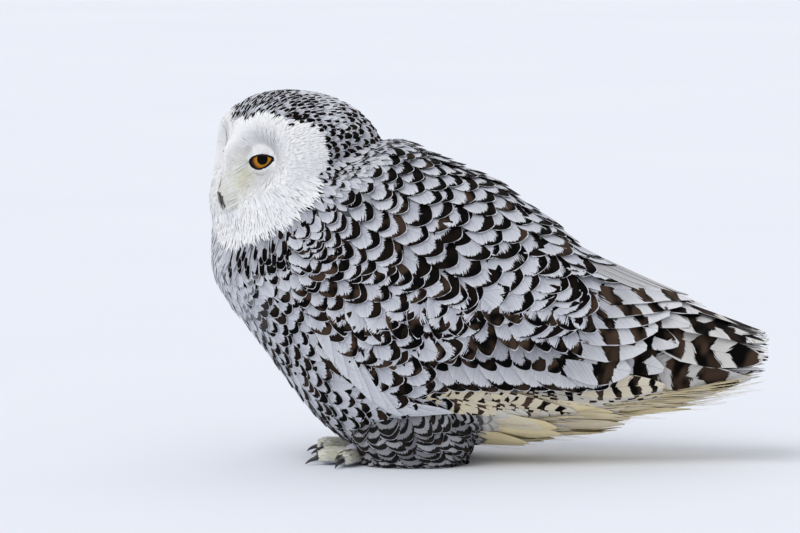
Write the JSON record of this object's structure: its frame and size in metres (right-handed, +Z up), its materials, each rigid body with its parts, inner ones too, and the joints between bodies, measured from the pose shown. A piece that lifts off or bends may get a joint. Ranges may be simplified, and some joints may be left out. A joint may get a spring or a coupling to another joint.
{
  "type": "snowy owl model",
  "caption": "Life-size still snowy owl resting low on the ground, head turned to its left, with folded wings and feathered feet.",
  "frame": {"origin": "middle of the bounding box at the level of the ground", "axes": "+Z up, the body faces -X, the bird's left side is -Y, and the head is turned 34 degrees to its left"},
  "size_m": [0.553, 0.2191, 0.3686],
  "materials": {
    "head_feathers": "soft white down with small dark spots on the crown",
    "neck_feathers": "soft pale feathers with dark spots at the side",
    "body_feathers": "soft white feathers with dark brown bars",
    "flight_feathers": "smooth white vanes with blackish brown marks",
    "foot_feathers": "dense cream down",
    "horn": "satin black keratin",
    "eye": "wet, with an amber iris and a black pupil"
  },
  "bodies": {
    "root": {"head": "head_feathers", "neck": "neck_feathers", "torso": "body_feathers", "tail": "flight_feathers", "scapulars_left": "flight_feathers", "scapulars_right": "flight_feathers", "wing_left": "flight_feathers", "wing_right": "flight_feathers", "leg_left": "body_feathers", "leg_right": "body_feathers", "foot_left": "foot_feathers", "foot_right": "foot_feathers", "claw_1_left": "horn", "claw_1_right": "horn", "claw_2_left": "horn", "claw_2_right": "horn", "claw_3_left": "horn", "claw_3_right": "horn", "claw_4_left": "horn", "claw_4_right": "horn", "bill_upper": "horn", "bill_lower": "horn", "eye_left": "eye", "eye_right": "eye"}
  },
  "joints": []
}
